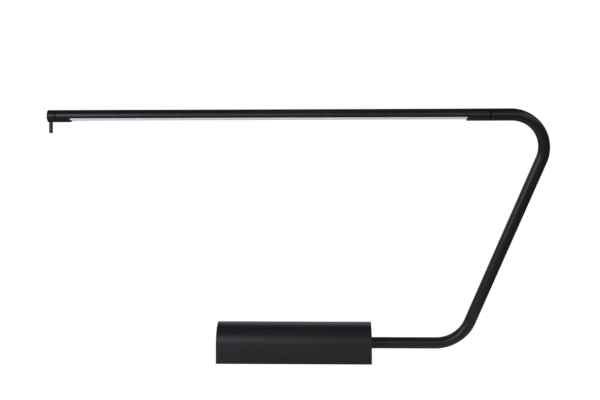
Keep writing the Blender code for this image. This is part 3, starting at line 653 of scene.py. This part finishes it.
def bar_tube():
    outer, inner = TUBE_RADIUS, TUBE_RADIUS - HOUSING_WALL
    low, high = HOUSING_LOW.x, HOUSING_HIGH.x
    corners = [(outer, high), (outer, low), (inner, low), (inner, high)]
    tube = lathe("lamp_bar", soft_profile(corners, 0.2 * MM), on_axis_x(SWIVEL), 128)
    left, right = DIFFUSER_LOW.x - NOTCH_CLEARANCE, DIFFUSER_HIGH.x + NOTCH_CLEARANCE
    reach = TUBE_RADIUS + 1 * MM
    notch = box_mesh(
        "notch",
        (left, SWIVEL.y - reach, SWIVEL.z - reach),
        (right, SWIVEL.y + reach, SWIVEL.z + NOTCH_DEPTH),
    )
    subtract(tube, [notch])
    settle(shade(tube), "head", BLACK, "bar_coat", "bar_housing")


def diffuser_strip():
    """The opal strip: a flange inside the housing, a neck, and a rounded lip that shows below the notch."""
    lip_radius = TUBE_RADIUS - 0.25 * MM
    lip_top = NOTCH_DEPTH - 0.15 * MM
    bottom = DIFFUSER_LOW.z - SWIVEL.z
    start = math.degrees(math.asin(lip_top / lip_radius))
    end = math.degrees(math.asin(bottom / lip_radius))
    half = [(4.2 * MM, -1.7 * MM), (4.2 * MM, -2.5 * MM), (3.9 * MM, -2.7 * MM), (3.9 * MM, lip_top)]
    lip = arc((0, 0), lip_radius, start, end, 16)
    lip[0] = (lip[0][0] - 0.2 * MM, lip[0][1])
    half += lip
    outline = [(-y, z) for y, z in half] + half[::-1]
    strip = extrude("opal_strip", [outline], DIFFUSER_LOW.x, DIFFUSER_HIGH.x, on_axis_x(SWIVEL))
    rounded(strip, 0.25 * MM, 3, 50)
    settle(shade(strip), "head", OPAL, "opal", "diffuser")


# Knob


def dimmer_cap():
    outer, bore = TUBE_RADIUS, DIMMER_BORE
    left, right = CAP_LOW.x, CAP_HIGH.x
    end = left + 1 * MM
    corners = [(0, end, 0), (bore, end, 0), (bore, right)]
    corners += [(outer, right), (outer, left, 0.35 * MM), (0, left, 0)]
    profile = soft_profile(corners, 0.2 * MM, 5)
    cap = lathe("dimmer_cap", profile, on_axis_x(SWIVEL), FINE)
    centre = (LEVER_LOW + LEVER_HIGH) / 2
    hole_profile = [(0, -2 * MM), (1.4 * MM, -2 * MM), (1.4 * MM, -8 * MM), (0, -8 * MM)]
    hole = lathe("hole", hole_profile, Matrix.Translation((centre.x, SWIVEL.y, SWIVEL.z)), 40)
    subtract(cap, [hole])
    settle(shade(cap), "knob", BLACK, "knob_coat", "knob_cap")


def dimmer_lever():
    """A blunt pin, standing on the cap's underside on a narrower stud."""
    centre = (LEVER_LOW + LEVER_HIGH) / 2
    radius = (LEVER_HIGH.x - LEVER_LOW.x) / 2
    stud, edge, top = 1.25 * MM, 0.6 * MM, LEVER_HIGH.z - SWIVEL.z
    shoulder, tip = -TUBE_RADIUS - 0.1 * MM, LEVER_LOW.z - SWIVEL.z
    profile = [(0, top), (stud, top), (stud, shoulder), (radius - 0.15 * MM, shoulder)]
    profile.append((radius, shoulder - 0.15 * MM))
    profile += arc((radius - edge, tip + edge), edge, 0, -90, 8)
    profile.append((0, tip))
    lever = lathe("dimmer_pin", profile, Matrix.Translation((centre.x, SWIVEL.y, SWIVEL.z)), 64)
    settle(shade(lever), "knob", BLACK, "knob_coat", "knob_lever")


# CAD nodes that stay


def carried_over():
    """Each CAD node that stays gets its finish, welded and shaded smooth, with its sharp edges kept."""
    board_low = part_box("led_board")[0].z + LED_HEIGHT
    finishes = {
        BLACK_STEEL: ("pivot_bracket", "stop_collar", "end_plug"),
        ZINC: (
            "terminal_screw_front",
            "terminal_screw_back",
            "driver_screw_left",
            "driver_screw_right",
            "bracket_screw_front",
            "bracket_screw_back",
            "lock_nut",
        ),
        BRIGHT: (
            "stop_pin",
            "collar_set_screw",
            "spring_washer",
            "swivel_spigot",
            "swivel_circlip",
            "dimmer_shaft",
            "earth_tag",
        ),
        BRASS: ("earth_screw",),
        BRONZE: ("pivot_bush_inner", "swivel_bush"),
        ALUMINIUM: ("heat_sink_bar",),
        WHITE_PLASTIC: ("terminal_block", "led_driver"),
        GREY_PLASTIC: ("arm_cable", "dimmer_body"),
        FIBRE: ("thrust_washer", "friction_washer"),
        LEAD_BROWN: ("live_lead", "head_lead"),
        LEAD_BLUE: ("neutral_lead", "dimmer_lead"),
        LEAD_GREEN: ("earth_lead",),
        led_face(board_low): ("led_board",),
    }
    for material, names in finishes.items():
        for name in names:
            node = frame["nodes"][name]
            node.data.materials.clear()
            node.data.materials.append(material)
            node.data.shade_smooth()
            weld = node.modifiers.new("weld", "WELD")
            weld.merge_threshold = 1e-6
            split = node.modifiers.new("sharp", "EDGE_SPLIT")
            split.split_angle = SHARP


# Stage, light and camera


def by_ray(nodes, links, seen, glossy, diffuse):
    """A strength for what the camera sees directly, and others for what lights the lamp."""
    ray = nodes.new("ShaderNodeLightPath")
    level = None
    for output, extra in (("Is Camera Ray", seen - glossy), ("Is Diffuse Ray", diffuse - glossy)):
        step = nodes.new("ShaderNodeMath")
        step.operation = "MULTIPLY_ADD"
        links.new(ray.outputs[output], step.inputs[0])
        step.inputs[1].default_value = extra
        if level is None:
            step.inputs[2].default_value = glossy
        else:
            links.new(level, step.inputs[2])
        level = step.outputs["Value"]
    return level


def stage():
    """A plain pale floor, nearly as white as the surround, and clear from below."""
    work = bmesh.new()
    bmesh.ops.create_circle(work, cap_ends=True, radius=8.0, segments=96)
    mesh = bpy.data.meshes.new("floor")
    work.to_mesh(mesh)
    work.free()
    floor = link("floor", mesh, Matrix.Translation((0, 0, -0.2 * MM)))
    finish = Finish("floor_white", colour(0.8, 0.8, 0.8), 0.0, 0.9, 0.0)
    reach = finish.nodes.new("ShaderNodeVectorMath")
    reach.operation = "LENGTH"
    finish.links.new(finish.place, reach.inputs[0])
    far = finish.spread(reach.outputs["Value"], 0.0, 1.0, 0.15, 0.40)
    finish.vary_colour(far, colour(0.8, 0.8, 0.8), colour(0.15, 0.15, 0.15))
    mix = finish.nodes.new("ShaderNodeMix")
    finish.links.new(far, mix.inputs["Factor"])
    finish.links.new(by_ray(finish.nodes, finish.links, 0.85, *FLOOR_NEAR), mix.inputs["A"])
    finish.links.new(by_ray(finish.nodes, finish.links, 1.0, *FLOOR_FAR), mix.inputs["B"])
    finish.links.new(mix.outputs["Result"], finish.shader.inputs["Emission Strength"])
    finish.shader.inputs["Emission Color"].default_value = colour(1, 1, 1)
    see_through = finish.nodes.new("ShaderNodeBsdfTransparent")
    side = finish.nodes.new("ShaderNodeNewGeometry")
    either = finish.nodes.new("ShaderNodeMixShader")
    finish.links.new(side.outputs["Backfacing"], either.inputs["Fac"])
    finish.links.new(finish.shader.outputs["BSDF"], either.inputs[1])
    finish.links.new(see_through.outputs["BSDF"], either.inputs[2])
    finish.links.new(either.outputs["Shader"], finish.nodes["Material Output"].inputs["Surface"])
    mesh.materials.append(finish.material)


def world():
    """White to the camera, a dim soft grey to the lamp."""
    scene = bpy.context.scene
    scene.world = bpy.data.worlds.new("studio")
    scene.world.use_nodes = True
    nodes, links = scene.world.node_tree.nodes, scene.world.node_tree.links
    background = nodes["Background"]
    background.inputs["Color"].default_value = (1, 1, 1, 1)
    links.new(by_ray(nodes, links, 1.02, AMBIENT, AMBIENT), background.inputs["Strength"])


def soft_box(name, location, target, size, radiance, tint=(1, 1, 1)):
    light = bpy.data.lights.new(name, "AREA")
    light.shape = "RECTANGLE"
    light.size, light.size_y = size
    light.energy = radiance * 4 * size[0] * size[1]
    light.color = tint
    lamp = bpy.data.objects.new(name, light)
    bpy.context.scene.collection.objects.link(lamp)
    direction = Vector(target) - Vector(location)
    lamp.location = location
    lamp.rotation_euler = direction.to_track_quat("-Z", "Y").to_euler()
    lamp.visible_camera = False


def lights():
    """Boxes behind the camera, the left ones brightest, and panels round the lamp and above it."""
    cool, sky = (0.93, 0.97, 1.08), (0.82, 0.95, 1.2)
    soft_box("left", (-1.00, -0.72, 0.40), (-0.05, 0, 0.15), (0.80, 0.50), 2.0, cool)
    soft_box("front_left", (-0.60, -1.0, 0.44), (-0.1, 0, 0.15), (0.28, 0.54), 2.0, cool)
    soft_box("front", (-0.12, -1.0, 0.42), (-0.05, 0, 0.15), (0.46, 0.58), 1.0)
    soft_box("front_right", (0.50, -0.98, 0.36), (0.1, 0, 0.2), (0.44, 0.36), 1.0)
    soft_box("right", (0.95, -0.55, 0.85), (0.1, 0, 0.15), (0.60, 0.50), 1.2)
    soft_box("top", (0.03, -0.35, 1.0), (0, 0, 0.1), (0.22, 0.25), 0.4)
    soft_box("back_top", (0.02, 0.82, 0.80), (0, 0, 0.1), (0.80, 0.50), 0.85, cool)
    soft_box("back", (0.02, 1.20, 0.30), (0, 0, 0.1), (1.20, 0.40), 0.5, sky)
    soft_box("back_left", (-1.10, 0.90, 0.60), (0, 0, 0.12), (0.80, 0.70), 0.6, sky)
    soft_box("back_right", (1.10, 0.90, 0.60), (0, 0, 0.12), (0.80, 0.70), 0.6, sky)
    soft_box("below", (0, 0.1, -1.0), (0, 0, 0), (1.0, 0.6), 1.5)


def camera():
    """At the photograph's distance and height, level, turned slightly to the left, with a 50 mm lens."""
    lens = bpy.data.cameras.new("camera")
    lens.lens = 50
    lens.sensor_width = 36
    eye = bpy.data.objects.new("camera", lens)
    bpy.context.scene.collection.objects.link(eye)
    eye.location = (32.35 * MM, -928.4 * MM, 178.6 * MM)
    eye.rotation_euler = (math.radians(90), math.radians(0.05), math.radians(1.6))
    bpy.context.scene.camera = eye


bpy.context.scene.view_settings.view_transform = "Standard"
camera()
cover_shell()
end_caps()
wall_plate()
countersunk_screws()
grommet()
outer_bush()
arm()
joint_washers()
bar_tube()
diffuser_strip()
dimmer_cap()
dimmer_lever()
carried_over()
stage()
world()
lights()
